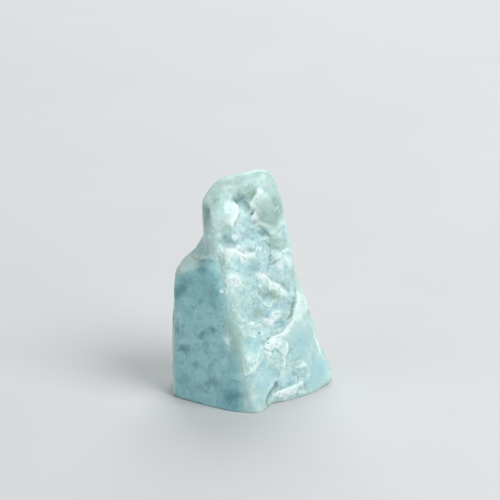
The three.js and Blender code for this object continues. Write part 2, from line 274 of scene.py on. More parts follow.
# Dents: centre, half sizes, turn in degrees and depth. A depth below nought is a swelling.
FRONT_DENTS = [
    ((-1.0, 35.8), (3.2, 2.8), 0, 0.5),
    ((-1.3, 34.0), (1.2, 2.4), 20, 1.0),
    ((-1.7, 35.7), (0.4, 0.8), -15, -0.2),
    ((2.0, 34.6), (1.8, 2.0), 10, -0.35),
    ((-4.9, 32.0), (2.4, 3.8), 8, -0.6),
    ((3.4, 33.6), (2.6, 4.0), -12, -0.5),
    ((2.5, 28.9), (1.6, 1.0), 15, 0.45),
    ((-4.3, 27.0), (3.0, 1.3), 0, 0.45),
    ((-0.6, 28.2), (3.2, 2.0), 0, 0.35),
    ((-3.0, 28.0), (0.9, 0.7), 0, -0.25),
    ((6.0, 23.0), (2.8, 3.0), 15, -0.45),
    ((3.9, 23.4), (1.0, 2.2), 25, 0.2),
    ((-3.2, 20.6), (1.8, 1.6), 0, -0.35),
    ((0.2, 21.2), (2.0, 2.4), -20, 0.3),
    ((2.9, 17.0), (1.5, 1.3), 0, 0.35),
    ((5.4, 12.3), (1.6, 1.4), 30, 0.3),
    ((0.4, 8.6), (2.2, 1.7), 10, 0.35),
    ((3.4, 8.2), (1.5, 1.1), 30, -0.45),
    ((3.1, 6.6), (1.0, 0.9), 0, -0.4),
    ((0.4, 4.6), (1.8, 2.4), -25, -0.3),
    ((8.9, 5.7), (1.9, 0.7), 15, 0.12),
    ((8.9, 2.7), (1.8, 1.3), 0, 0.2),
    ((-14.8, 12.9), (1.6, 6.0), 0, 0.4),
    ((-8.9, 31.0), (2.0, 3.6), 0, 0.4),
    ((-1.4, 29.4), (0.8, 0.5), 0, -0.25),
    ((2.8, 0.8), (1.8, 3.6), -15, -0.45),
    ((-4.2, 8.9), (0.6, 1.5), 5, 0.12),
    ((-4.7, 5.5), (0.9, 1.3), 10, 0.1),
]

# Pits: small dents, in rows like the dents, which are also darkened with painted shade
PITS = [
    ((-2.6, 34.3), (0.5, 0.25), -30, 0.4),
    ((0.3, 32.3), (0.7, 0.25), 48, 0.6),
    ((4.5, 28.3), (0.22, 0.25), 0, 0.3),
    ((0.4, 15.9), (0.18, 0.22), 0, 0.25),
    ((1.5, 22.3), (0.2, 0.18), 0, 0.2),
    ((3.0, 21.0), (0.16, 0.16), 0, 0.2),
    ((1.7, 10.5), (0.2, 0.25), 0, 0.3),
    ((3.0, 8.7), (0.22, 0.22), 0, 0.3),
    ((3.2, 9.5), (0.35, 0.2), 20, 0.3),
    ((5.2, -0.7), (0.2, 0.2), 0, 0.2),
]

# Ledges: line, height, how far the raised side reaches, and that side, 1 left and -1 right.
# Each fades over a share of its line at both ends, and the stone is fresh and white beside it.
LEDGE_SOFTNESS = 0.13
LEDGE_RUN_OUT = 0.22
GLOW_REACH = 1.2
GLOW_STRENGTH = 1.3
FRONT_LEDGES = [
    ([(-6.9, 34.4), (-7.5, 32.7), (-7.3, 31.0), (-6.8, 29.4), (-5.7, 28.4)], 0.18, 2.5, 1),
    ([(-3.7, 34.7), (-2.2, 33.8), (-2.1, 32.7), (-2.5, 31.6), (-3.4, 30.8), (-3.3, 29.2)], 0.5, 2.2, -1),
    ([(1.8, 36.8), (0.8, 35.6), (-0.3, 34.0), (0.7, 33.0), (-0.2, 31.4), (0.1, 30.2)], 0.4, 2.2, 1),
    ([(0.2, 32.0), (1.6, 30.4), (3.2, 29.3), (4.4, 28.2)], 0.22, 3.0, 1),
    ([(4.4, 28.2), (5.3, 29.8), (6.3, 31.4)], 0.2, 2.0, 1),
    ([(-5.9, 25.2), (-4.6, 26.0), (-3.0, 25.8), (-1.6, 24.8), (0.2, 25.2), (1.2, 26.0)], 0.4, 2.0, -1),
    ([(4.6, 23.2), (5.0, 24.6), (6.0, 25.6), (7.2, 25.6)], 0.22, 2.4, -1),
    ([(-4.3, 20.4), (-3.4, 21.1), (-2.2, 20.2), (-1.7, 19.4), (-0.6, 18.9)], 0.35, 1.8, -1),
    ([(1.3, 21.8), (2.8, 21.2), (3.9, 19.9), (5.0, 19.6), (6.1, 18.3), (7.4, 17.1)], 0.4, 4.0, -1),
    ([(9.2, 20.7), (8.7, 18.3), (8.5, 16.8), (8.1, 14.9), (7.7, 13.5), (7.1, 12.0), (6.0, 10.6),
      (4.7, 10.0), (3.4, 9.3), (2.6, 8.5), (2.5, 7.6)], 0.34, 5.0, 1),
    ([(2.2, 11.6), (3.0, 13.2), (4.0, 14.4), (5.2, 14.9), (6.4, 14.6)], 0.25, 2.2, -1),
    ([(-1.6, 13.6), (-0.6, 12.6), (0.6, 12.4), (1.6, 12.6)], 0.16, 1.2, -1),
    ([(-4.6, 22.4), (-3.4, 23.0), (-2.2, 22.4), (-1.4, 21.6)], 0.16, 1.6, -1),
    ([(0.6, 17.6), (1.6, 16.4), (2.8, 15.4), (4.4, 15.6)], 0.18, 1.4, 1),
    ([(2.0, 7.8), (2.9, 7.2), (3.8, 7.0), (4.6, 7.6)], 0.25, 1.0, 1),
    ([(7.6, 4.6), (8.0, 3.4), (8.9, 2.4), (9.2, 1.6)], 0.18, 1.2, 1),
    ([(-4.5, 17.6), (-4.1, 15.6), (-3.4, 13.0), (-2.2, 11.9), (0.4, 10.9)], 0.1, 1.6, -1),
    ([(6.8, 9.8), (6.7, 7.7), (6.3, 5.1), (6.0, 3.3), (5.2, 1.9)], 0.2, 3.0, -1),
    ([(-1.5, 6.8), (-1.3, 4.6), (-0.9, 2.2)], 0.12, 1.6, 1),
    ([(3.6, -1.9), (5.0, -0.2), (7.2, 0.7), (9.3, 1.6), (10.0, 0.9), (10.2, 0.1)], 0.45, 2.4, -1),
    ([(8.1, 4.0), (9.4, 4.5), (10.7, 5.1)], 0.18, 0.9, -1),
    ([(10.5, 1.4), (11.3, 3.3)], 0.15, 0.9, 1),
    ([(-7.0, 24.8), (-8.0, 24.0), (-9.4, 23.9), (-11.0, 24.6)], 0.2, 2.0, -1),
    ([(-8.6, 30.0), (-7.6, 28.4), (-7.3, 26.4), (-7.4, 24.6)], 0.15, 1.5, -1),
]

# Cracks: line, half width and depth. Each is also darkened with painted shade, the deepest by the share,
# the others by less.
CRACK_RUN_OUT = 0.2
CRACK_SHADE = 0.7
FRONT_CRACKS = [
    ([(8.0, 17.2), (8.2, 16.2), (7.7, 15.1), (7.7, 14.2), (7.0, 13.2), (6.7, 12.4)], 0.14, 0.4),
    ([(7.2, 25.2), (5.9, 25.0), (4.6, 23.6), (3.3, 23.0), (2.9, 21.8)], 0.2, 0.16),
    ([(3.2, -3.4), (3.3, -1.9), (3.9, -0.4), (4.6, 0.9), (5.2, 2.0)], 0.2, 0.45),
    ([(-3.4, 35.2), (-2.9, 34.7), (-2.4, 34.1), (-2.0, 33.4), (-1.6, 32.7)], 0.16, 0.4),
    ([(2.2, 28.0), (2.9, 27.2), (3.6, 26.6), (3.6, 24.8), (3.3, 23.2)], 0.13, 0.12),
    ([(7.6, 4.8), (8.6, 5.2), (9.8, 5.9)], 0.13, 0.1),
    ([(7.8, 3.8), (9.0, 3.6), (10.2, 3.9)], 0.13, 0.1),
]

# The other sides have patches of broken stone, set back a little, where slow noise is high. The
# back has worn hollows and a swelling too, in rows like the dents but with x and the height as
# their centres. The noise is looked up along turned axes, so that its lattice doesn't show.
TURNED_AXES = np.array([[0.36, 0.48, -0.8], [-0.8, 0.6, 0.0], [0.48, 0.64, 0.6]])
HIDDEN_BREAKS = [(10.0, 1.0, 3), (4.5, 0.35, 19)]
HIDDEN_BREAK_EDGE = (0.0, 0.4)
HIDDEN_BREAK_DEPTH = 0.5
BACK_DENTS = [
    ((-8, 26), (4.0, 6.0), 20, 0.7),
    ((3, 33), (3.5, 5.0), -15, 0.8),
    ((11, 8), (3.5, 5.0), 10, 0.6),
    ((8, 24), (3.0, 4.0), 0, -0.5),
    ((-2, 14), (5.0, 3.0), 15, 0.5),
]

# Chips of broken stone: cell size, tilt, step from chip to chip, and a shift of the pattern.
# Worn faces keep a share of the large chips, and the polished face has none. The front has a share
# of them only, because its own ledges are placed one by one.
LARGE_CHIPS = [(4.6, 0.18, 0.2, 0), (2.1, 0.14, 0.07, 5)]
CRYSTAL_CHIPS = [(1.0, 0.35, 0.08, 9), (0.55, 0.35, 0.04, 14)]
CHIP_SHARPNESS = 14
WORN_SHARE = 0.45
FRONT_SHARE = 0.45

# Crystals stand on all broken stone, and more of them on the freshly broken
OLD_CRYSTALS = 0.32
FRESH_CRYSTALS = 0.4

# Each chip's seed lies in the middle part of its cell, and a chip leans by at least a share of the
# tilt. A whole number times one of the multipliers has a fraction spread evenly from 0 to 1.
SEED_EDGE = 0.1
SEED_ROOM = 0.8
LEAST_LEAN = 0.4
LEAN_ROOM = 0.6
CELL_KEYS = np.array([17.0, 29.0, 43.0])
PLACE_MULTIPLIERS = (0.754877, 0.56984, 0.43016)
TURN_MULTIPLIER = 0.381966
RISE_MULTIPLIER = 0.71057
LEAN_MULTIPLIER = 0.2714
LEVEL_MULTIPLIER = 0.618034
LEVEL_SHIFT = 0.3

# Swelling of every face, the wander that keeps the marks' outlines uneven, and the grain of broken
# stone. A row is the noise's size, its height and a shift of the pattern.
CORNER_KEYS = np.array([13.0, 31.0, 57.0])
CORNER_MULTIPLIER = 43.7585453
SWELLS = [(6.5, 0.35, 31), (3.1, 0.1, 7)]
WANDER_ACROSS = [(2.6, 0.3, 11), (1.1, 0.15, 17)]
WANDER_UP = [(2.6, 0.3, 23), (1.1, 0.15, 29)]
GRAIN = [(0.8, 0.07, 3), (0.45, 0.06, 13)]

# The foot is lowered by this much and has no marks, and is then cut level at the ground
FOOT_DROP = 0.3

# How squarely a face looks at the front, the back or the floor where its marks begin and are full.
# The way it looks is taken over a gap that spans the rounded edges.
FRONT_FACING = (0, 0.35)
BACK_FACING = (0.2, 0.6)
FLOOR_FACING = (0.5, 0.9)
RELIEF_GAP = 1.0


def smooth_step(values, low, high):
    """0 below low, 1 above high, and t t (3 - 2 t) between them, where t is the share of the way."""
    share = np.clip((values - low) / (high - low), 0, 1)
    return share * share * (3 - 2 * share)


def fraction(values):
    """What is left of each value above the whole number below it."""
    return values - np.floor(values)


def swell(points, layers):
    """Smooth noise in space, added up over layers of size, height and shift.

    Each corner of a lattice of that size has a fixed value from -1 to 1, made from the fraction of
    a multiple of its key's sine, and the eight corners round a point are mixed by smooth shares.
    """
    total = np.zeros(len(points))
    for size, height, shift in layers:
        place = (points + shift) / size
        cell = np.floor(place)
        near = place - cell
        near = near * near * (3 - 2 * near)
        for corner in range(8):
            step = np.array([corner & 1, (corner >> 1) & 1, corner >> 2])
            key = (cell + step) @ CORNER_KEYS
            value = 2 * fraction(np.sin(key) * CORNER_MULTIPLIER) - 1
            total += height * value * np.where(step, near, 1 - near).prod(axis=1)
    return total


def chip_field(places, size, tilt, step, shift):
    """Height of a field of chips, on an uneven lattice of seeds in space, one cell apart.

    Each seed has its own level and leans in its own direction, and the seeds round a place are
    mixed by exp(-sharpness x squared distance / squared cell size).
    """
    cell = np.floor(places / size)
    heights = np.zeros(len(places))
    weights = np.zeros(len(places))
    for near in np.ndindex(3, 3, 3):
        corner = cell + near - 1
        seed = corner @ CELL_KEYS + shift
        jitter = np.stack([fraction(seed * multiplier) for multiplier in PLACE_MULTIPLIERS], axis=1)
        away = places - (corner + SEED_EDGE + SEED_ROOM * jitter) * size
        turn = 2 * np.pi * fraction(seed * TURN_MULTIPLIER)
        rise = 2 * fraction(seed * RISE_MULTIPLIER) - 1
        level = np.sqrt(1 - rise**2)
        lean = np.stack([level * np.cos(turn), level * np.sin(turn), rise], axis=1)
        slope = tilt * (LEAST_LEAN + LEAN_ROOM * fraction(seed * LEAN_MULTIPLIER))
        base = step * (2 * fraction(seed * LEVEL_MULTIPLIER + LEVEL_SHIFT) - 1)
        weight = np.exp(-CHIP_SHARPNESS * (away**2).sum(axis=1) / size**2)
        heights += weight * (base + slope * (away * lean).sum(axis=1))
        weights += weight
    return heights / weights


def nearest_on(line, x, y):
    """Distance to a line of points, the side of it, 1 left and -1 right, and the share passed.

    On each span the nearest place lies at the offset from its start times the span, divided by the
    span's length squared and held from 0 to 1. The side is the sign of their cross product.
    """
    line = np.array(line, float)
    spans = line[1:] - line[:-1]
    lengths = np.hypot(*spans.T)
    passed = np.concatenate([[0], np.cumsum(lengths)])
    distance = np.full(x.shape, np.inf)
    side = np.zeros(x.shape)
    share = np.zeros(x.shape)
    for start, span, length, before in zip(line, spans, lengths, passed):
        dx, dy = x - start[0], y - start[1]
        along = np.clip((dx * span[0] + dy * span[1]) / length**2, 0, 1)
        gap = np.hypot(dx - along * span[0], dy - along * span[1])
        nearer = gap < distance
        distance = np.where(nearer, gap, distance)
        side = np.where(nearer, np.sign(span[0] * dy - span[1] * dx), side)
        share = np.where(nearer, (before + along * length) / passed[-1], share)
    return distance, side, share


def inside_outline(outline, x, y):
    """Distance inside a closed outline, below nought outside: a point is inside where a level
    line from it crosses the outline an odd number of times."""
    odd = np.zeros(x.shape, bool)
    for (ax, ay), (bx, by) in zip(outline, outline[1:] + outline[:1]):
        if ay != by:
            odd ^= ((ay > y) != (by > y)) & (x < (bx - ax) * (y - ay) / (by - ay) + ax)
    distance = nearest_on([*outline, outline[0]], x, y)[0]
    return np.where(odd, distance, -distance)


def run_out(share, width):
    """Fades a mark over that share of its line's length at each end."""
    return smooth_step(share, 0, width) * smooth_step(1 - share, 0, width)


def oval_radius_squared(x, y, centre, halves, turn):
    """0 in the middle of a turned oval and 1 at its rim: (across / half) squared plus
    (up / half) squared, with across and up along the oval's own axes."""
    c, s = np.cos(np.radians(turn)), np.sin(np.radians(turn))
    dx, dy = x - centre[0], y - centre[1]
    return ((dx * c + dy * s) / halves[0])**2 + ((dy * c - dx * s) / halves[1])**2


def dents(x, y, rows):
    """Depths of the dents, each its depth times (1 - r squared) to the power 1.5."""
    total = np.zeros(x.shape)
    for at, half, turn, depth in rows:
        total -= depth * np.clip(1 - oval_radius_squared(x, y, at, half, turn), 0, 1)**1.5
    return total


def ledge_step(x, y, line, raised, reach):
    """A smooth step up from 0 to 1 on the raised side of a line, dying away as exp(-d / reach)
    from the line and run out at its ends."""
    distance, side, share = nearest_on(line, x, y)
    beyond = distance * side * raised
    step = smooth_step(beyond, -LEDGE_SOFTNESS, LEDGE_SOFTNESS)
    fall = np.exp(-np.maximum(beyond, 0) / reach)
    return step * fall * run_out(share, LEDGE_RUN_OUT)


def ledges(x, y, rows):
    """Heights of the ledges, each its height times its step."""
    return sum(height * ledge_step(x, y, line, raised, reach) for line, height, reach, raised in rows)


def glow(x, y, rows):
    """Strength of the fresh stone at the ledges: the greatest of their steps, each in the
    proportion of its ledge's height to the highest."""
    highest = max(height for _, height, _, _ in rows)
    strength = np.zeros(x.shape)
    for line, height, _, raised in rows:
        step = ledge_step(x, y, line, raised, GLOW_REACH)
        strength = np.maximum(strength, height / highest * step)
    return strength


def cracks(x, y, rows):
    """Depths of the cracks: -depth exp(-(d / half width) squared) across each line."""
    total = np.zeros(x.shape)
    for line, width, depth in rows:
        distance, _, share = nearest_on(line, x, y)
        total -= depth * np.exp(-((distance / width)**2)) * run_out(share, CRACK_RUN_OUT)
    return total


def chipped(places, layers):
    """All the layers of chips together."""
    return sum(chip_field(places, *layer) for layer in layers)


def wide_normals(points):
    """The way the plain form faces, taken over a gap that spans its rounded edges."""
    slope = []
    for axis in np.eye(3) * RELIEF_GAP:
        slope.append(plain_form(points + axis)[0] - plain_form(points - axis)[0])
    slope = np.stack(slope, axis=1)
    return slope / np.linalg.norm(slope, axis=1, keepdims=True)


points, cells = box_lattice()
mean_of_neighbours = neighbour_means(cells, len(points))
points = traced_points(points, mean_of_neighbours)
normals = wide_normals(points)

facing_front = smooth_step(normals @ SIGHT_LINE, *FRONT_FACING)
facing_back = smooth_step(normals[:, 1], *BACK_FACING)
facing_floor = smooth_step(-normals[:, 2], *FLOOR_FACING)
across_wander = swell(points, WANDER_ACROSS)
up_wander = swell(points, WANDER_UP)
plain_x = points[:, 0]
plain_y = points[:, 2] * np.cos(SIGHT) + points[:, 1] * np.sin(SIGHT)
sheet_x, sheet_y = plain_x + across_wander, plain_y + up_wander
wandered = points + np.stack([across_wander, across_wander - up_wander, up_wander], axis=1)
broken_front = smooth_step(inside_outline(BROKEN_FRONT, sheet_x, sheet_y), *FRONT_BREAK_EDGE)
broken_sides = smooth_step(swell(wandered @ TURNED_AXES, HIDDEN_BREAKS), *HIDDEN_BREAK_EDGE)
broken = facing_front * broken_front + (1 - facing_front) * (1 - facing_floor) * broken_sides

# The stone's colours lie in zones with soft rims. A row is a zone's centre on the front sheet, its
# half sizes, its turn in degrees and its strength. White is where the stone is freshly broken.
WHITE_ZONES = [
    ((-2.8, 25.2), (3.0, 1.5), -5, 1.2),
    ((-0.8, 25.2), (1.6, 0.9), 10, 0.9),
    ((-3.2, 23.4), (2.0, 0.9), 0, 0.5),
    ((-8.6, 36.2), (1.4, 2.2), -20, 0.6),
    ((9.8, 15.2), (1.5, 3.8), -18, 0.65),
    ((0.6, 25.6), (0.9, 0.6), 40, 0.6),
    ((-3.1, 20.0), (1.6, 1.4), -20, 1.1),
    ((-4.0, 18.2), (0.6, 1.2), 10, 0.5),
    ((2.2, 20.9), (1.2, 0.9), -20, 1.1),
    ((4.0, 19.4), (1.6, 0.9), -40, 1.1),
    ((5.9, 18.2), (1.3, 0.6), -45, 0.9),
    ((1.5, 19.2), (0.6, 1.4), -10, 0.5),
    ((6.8, 24.0), (1.3, 1.7), 15, 0.6),
    ((9.0, 13.4), (1.1, 1.6), -25, 0.7),
    ((6.4, 10.7), (1.9, 0.7), 35, 1.0),
    ((4.0, 13.0), (2.2, 1.1), 38, 1.0),
    ((4.6, 14.5), (1.2, 0.4), 10, 0.6),
    ((4.0, 8.6), (2.0, 1.1), 20, 1.2),
    ((3.1, 6.7), (0.8, 0.7), 0, 1.0),
    ((5.6, 8.8), (1.4, 1.1), 0, 0.6),
    ((-0.2, 5.9), (1.2, 1.2), 0, 0.7),
    ((1.2, 6.1), (1.4, 0.6), 25, 0.55),
    ((0.3, 4.3), (0.8, 1.7), -35, 0.8),
    ((0.9, 2.7), (0.5, 1.1), -30, 0.5),
    ((7.2, -0.4), (3.4, 0.9), 14, 1.0),
    ((8.9, 2.8), (1.3, 1.0), 10, 0.6),
    ((3.3, 37.6), (1.1, 1.2), 0, 0.6),
    ((2.2, 36.6), (1.4, 0.5), 20, 0.9),
    ((0.9, 34.0), (0.7, 1.4), -20, 0.6),
    ((-3.0, 33.2), (0.8, 1.2), 0, 0.7),
    ((-2.9, 30.6), (0.9, 0.9), 0, 0.7),
    ((-5.6, 37.0), (2.0, 1.0), 20, 0.3),
    ((-5.1, 33.6), (1.6, 1.4), 10, 0.2),
    ((1.6, 30.6), (1.6, 0.7), -25, 0.8),
    ((0.2, 29.6), (1.2, 0.6), -20, 0.6),
    ((-3.0, 28.0), (0.8, 0.6), 0, 0.8),
    ((1.3, 26.2), (0.35, 1.0), -10, 0.9),
    ((-5.4, 28.6), (1.4, 0.5), 0, 0.5),
    ((6.2, 30.8), (0.4, 1.6), -15, 0.7),
    ((7.0, 28.6), (0.6, 1.4), -10, 0.6),
    ((4.9, 33.4), (0.4, 1.2), -10, 0.5),
    ((5.2, 24.8), (0.9, 0.9), 20, 1.0),
    ((6.9, 26.0), (0.9, 0.5), 0, 0.8),
    ((4.9, 23.2), (0.9, 2.0), 25, 0.9),
    ((7.3, 3.9), (0.3, 0.5), 0, 0.6),
    ((9.4, 4.6), (1.4, 0.4), 20, 0.7),
    # The next two rows pale the neck facet: partly its own paler stone, partly painted light on that
    # upward facing facet
    ((-9.2, 26.0), (1.3, 1.8), 10, 0.35),
    ((-9.6, 28.2), (0.7, 1.6), -25, 0.7),
    ((-11.6, 24.0), (1.4, 0.5), 35, 0.4),
    ((0.5, -0.6), (1.2, 2.4), 0, 0.45),
    ((-5.1, 18.2), (0.3, 0.3), 0, 1.0),
    ((-1.2, 13.1), (0.6, 0.3), 0, 0.8),
    ((0.0, 12.2), (0.5, 0.5), 0, 0.9),
    ((1.7, 11.8), (0.5, 0.4), 0, 0.9),
    ((0.4, 9.8), (0.7, 0.4), -35, 0.9),
    ((-4.2, 8.9), (0.8, 2.0), 5, 0.75),
    ((-4.7, 5.5), (0.9, 1.3), 10, 0.4),
]
GREEN_ZONES = [
    ((-1.6, 36.2), (2.6, 1.6), 10, 1.0),
    ((-2.6, 34.9), (0.9, 1.0), 0, 1.0),
    ((0.2, 36.0), (1.2, 1.4), 0, 1.0),
    ((2.2, 39.4), (1.8, 1.1), 0, 0.7),
    ((-2.5, 38.6), (3.0, 1.0), 12, 0.5),
    ((-6.6, 34.6), (1.4, 1.8), 0, 0.8),
    ((-5.0, 31.3), (1.6, 2.5), 8, 0.5),
    ((3.4, 33.0), (2.6, 3.4), -15, 1.3),
    ((5.4, 35.0), (1.0, 2.6), -12, 0.7),
    ((4.6, 26.9), (2.4, 1.4), 0, 0.9),
    ((-5.1, 23.3), (1.2, 2.8), 10, 0.8),
    ((4.0, 18.0), (1.7, 1.4), -30, 1.1),
    ((1.0, 14.2), (1.2, 1.4), 0, 0.9),
    ((-1.4, 15.2), (3.0, 2.4), 0, 0.5),
    ((8.2, 21.2), (1.2, 2.4), 15, 0.45),
    ((10.4, 14.6), (1.0, 3.4), -20, 0.7),
    ((-3.0, 10.0), (1.7, 5.4), 13, 0.65),
    ((-4.0, 14.6), (1.0, 1.8), 10, 0.5),
    ((-8.4, 32.0), (0.8, 2.6), 5, 0.9),
    ((1.0, 0.6), (1.2, 2.2), 0, 0.4),
    ((9.0, 5.7), (1.5, 0.5), 20, 0.5),
]
BLUE_ZONES = [
    ((-3.9, 27.0), (2.8, 0.9), 0, 0.7),
    ((-0.2, 28.2), (2.6, 1.6), 0, 0.6),
    ((-0.2, 31.0), (1.0, 1.4), 0, 0.6),
    ((2.6, 29.0), (1.4, 0.8), 10, 0.8),
    ((-2.4, 22.8), (1.2, 1.6), 0, 0.9),
    ((0.2, 22.6), (1.6, 2.0), 0, 0.8),
    ((4.6, 22.0), (0.9, 1.4), 20, 0.8),
    ((-9.2, 26.6), (1.6, 2.4), 0, 1.0),
    ((-1.4, 18.2), (1.8, 1.0), 0, 0.5),
    ((5.7, 12.2), (1.6, 1.5), -30, 0.9),
    ((7.2, 16.0), (0.7, 2.0), 0, 0.6),
    ((0.4, 8.6), (2.0, 1.6), 0, 1.0),
    ((9.8, 8.4), (2.4, 3.0), -12, 1.0),
    ((2.6, 2.0), (1.5, 3.2), -20, 0.8),
    ((7.4, 6.4), (0.9, 1.2), 0, 0.8),
    ((7.4, 2.8), (1.1, 0.9), 0, 0.6),
    ((12.4, 3.4), (2.4, 3.4), -12, 1.0),
    ((-11.6, 10.1), (1.6, 1.6), 0, 0.6),
    ((-9.0, 2.4), (5.0, 3.6), -10, 0.6),
    ((-12.0, 6.6), (2.4, 2.4), 0, 0.5),
    ((1.6, -1.9), (1.4, 1.0), 0, 0.7),
    ((-0.4, 0.4), (1.7, 3.6), -8, 0.45),
]
DEEP_ZONES = [
    ((-13.4, 18.4), (1.5, 1.8), 0, 0.81),
    ((-12.0, 20.2), (1.6, 1.4), 0, 0.45),
    ((-8.7, 23.0), (1.8, 1.8), 0, 0.63),
    ((-7.7, 18.0), (1.6, 2.4), 0, 0.45),
    ((-9.3, 15.9), (2.2, 1.6), 0, 0.36),
    ((-6.6, 15.3), (1.2, 1.9), 0, 0.45),
    ((-7.2, 11.3), (0.7, 1.1), 20, 0.81),
    ((-9.1, 10.1), (1.1, 1.1), 0, 0.81),
    ((-13.0, 10.9), (1.1, 1.6), 0, 0.63),
    ((-12.4, 7.4), (1.6, 1.2), 0, 0.81),
    ((-9.9, 4.5), (1.6, 1.2), 0, 0.45),
    ((-12.8, 2.1), (1.6, 1.4), 0, 0.54),
    ((-7.2, 1.6), (1.6, 1.4), -35, 0.72),
    ((-9.7, 0.4), (1.6, 1.1), 0, 0.54),
    ((-3.3, -1.2), (2.2, 1.8), 10, 0.9),
    ((-3.9, 1.2), (1.1, 2.2), 15, 0.45),
    ((2.7, 17.2), (1.0, 1.1), -20, 0.5),
    ((2.6, 28.8), (1.0, 0.5), 10, 0.6),
    ((-8.4, 29.8), (1.2, 1.9), 10, 0.36),
    ((3.4, 33.0), (2.6, 3.6), -15, 0.42),
    ((-1.5, 35.2), (1.6, 1.4), 0, 0.36),
    ((-8.3, 31.4), (0.9, 3.0), 5, 0.38),
    ((-4.6, 33.0), (2.6, 3.4), 0, 0.2),
    ((-2.3, 34.9), (0.4, 0.9), -20, 0.7),
]

# Bright broken edges and thin veins: line, half width and strength
WHITE_LINES = [
    ([(1.3, 21.7), (2.8, 21.0), (3.9, 19.8), (5.0, 19.4), (6.1, 18.1), (7.3, 17.0)], 0.2, 0.6),
    ([(7.2, 11.9), (6.1, 10.5), (4.7, 9.8), (3.4, 9.1), (2.7, 8.3)], 0.14, 0.9),
    ([(6.8, 9.7), (6.7, 7.7), (6.3, 5.1), (6.0, 3.4)], 0.24, 1.0),
    ([(4.7, 8.0), (5.9, 6.5)], 0.1, 0.6),
    ([(8.0, 4.0), (9.4, 4.5), (10.7, 5.1)], 0.16, 0.9),
    ([(8.9, 3.6), (9.5, 2.2)], 0.12, 0.8),
    ([(10.5, 1.5), (11.3, 3.3)], 0.12, 0.9),
    ([(5.0, -0.4), (7.2, 0.5), (9.2, 1.4)], 0.18, 0.7),
    ([(-3.7, 34.5), (-2.4, 33.7), (-2.2, 32.7), (-2.6, 31.6), (-3.5, 30.8)], 0.15, 0.6),
    ([(0.5, 32.0), (1.7, 30.4), (3.3, 29.3), (4.4, 28.2)], 0.14, 0.9),
    ([(4.5, 28.3), (5.4, 29.8), (6.3, 31.4)], 0.12, 0.7),
    ([(-2.3, 20.2), (-1.5, 19.3), (-0.4, 18.8)], 0.12, 0.9),
    ([(-5.8, 25.2), (-4.6, 25.9), (-3.0, 25.7), (-1.6, 24.8)], 0.15, 0.7),
    ([(5.2, 25.2), (6.0, 25.7), (7.2, 25.6)], 0.12, 0.9),
    ([(-1.5, 6.8), (-1.3, 4.6), (-0.9, 2.2)], 0.12, 0.8),
    ([(-1.6, 35.9), (-2.1, 34.8)], 0.2, 0.9),
    ([(4.9, 34.2), (5.2, 32.4)], 0.14, 0.7),
    ([(12.0, 11.2), (13.0, 8.0), (13.6, 6.0)], 0.3, 0.8),
    ([(-12.6, 23.6), (-11.2, 24.6), (-10.2, 25.6)], 0.2, 0.4),
]

# How far the zones and the lines wander, in rows like the swells, and how soft the zones' rims are
ZONE_WANDER = [(1.4, 0.55, 41), (0.6, 0.35, 47)]
LINE_WANDER = [(0.9, 0.16, 53), (0.4, 0.1, 59)]
LINE_SHIFT = 5
RIM_SOFTNESS = 1.1

# Each kind of zone: its rows on the front and a shift of its noise, and for the other sides the
# size of its zones, the noise that they begin at and their greatest strength
ZONE_KINDS = {
    "white": (WHITE_ZONES, 2.0, 4.5, -0.1, 0.6),
    "green": (GREEN_ZONES, 9.0, 6.0, -0.3, 0.6),
    "blue": (BLUE_ZONES, 15.0, 5.0, -0.3, 0.7),
    "deep": (DEEP_ZONES, 21.0, 2.6, 0.0, 0.55),
}

# Layers of that noise: their sizes as shares of the zones' size, their heights and their shifts
CLOUD_LAYERS = [(1.0, 1.0, 0), (0.5, 0.5, 3), (0.25, 0.2, 7)]


def zones(rows, shift):
    """Strength of a kind of zone: the greatest over its ovals of strength x exp(-r to the power
    2 x softness), looked up at places that wander by smooth noise."""
    x = plain_x + swell(points + shift, ZONE_WANDER)
    y = plain_y + swell(points - shift, ZONE_WANDER)
    strength = np.zeros(x.shape)
    for centre, halves, turn, most in rows:
        r_squared = oval_radius_squared(x, y, centre, halves, turn)
        strength = np.maximum(strength, most * np.exp(-(r_squared**RIM_SOFTNESS)))
    return strength


def veins(rows):
    """Strength of the bright lines: strength x exp(-(d / half width) squared) across each line."""
    x = plain_x + swell(points, LINE_WANDER)
    y = plain_y + swell(points + LINE_SHIFT, LINE_WANDER)
    strength = np.zeros(x.shape)
    for line, width, most in rows:
        distance, _, share = nearest_on(line, x, y)
        across = most * np.exp(-((distance / width)**2))
        strength = np.maximum(strength, across * run_out(share, CRACK_RUN_OUT))
    return strength


def all_round(marked, shift, size, low, most):
    """The zones marked on the front, and on the other sides soft zones: most x the smooth step of
    noise from low to 1. The two are mixed by how squarely the stone faces the front."""
    layers = [(size * share, height, layer_shift) for share, height, layer_shift in CLOUD_LAYERS]
    clouds = swell(wandered @ TURNED_AXES + shift, layers)
    hidden = most * smooth_step(clouds, low, 1.0)
    return hidden + (marked - hidden) * facing_front


front_zones = {kind: zones(rows, shift) for kind, (rows, shift, *_) in ZONE_KINDS.items()}
ledge_glow = GLOW_STRENGTH * glow(sheet_x, sheet_y, FRONT_LEDGES)
front_zones["white"] = np.maximum(front_zones["white"], ledge_glow)
zone_masks = {kind: all_round(front_zones[kind], *row[1:]) for kind, row in ZONE_KINDS.items()}
bright_lines = veins(WHITE_LINES) * facing_front
fresh = np.clip(np.maximum(zone_masks["white"], bright_lines), 0, 1) * broken

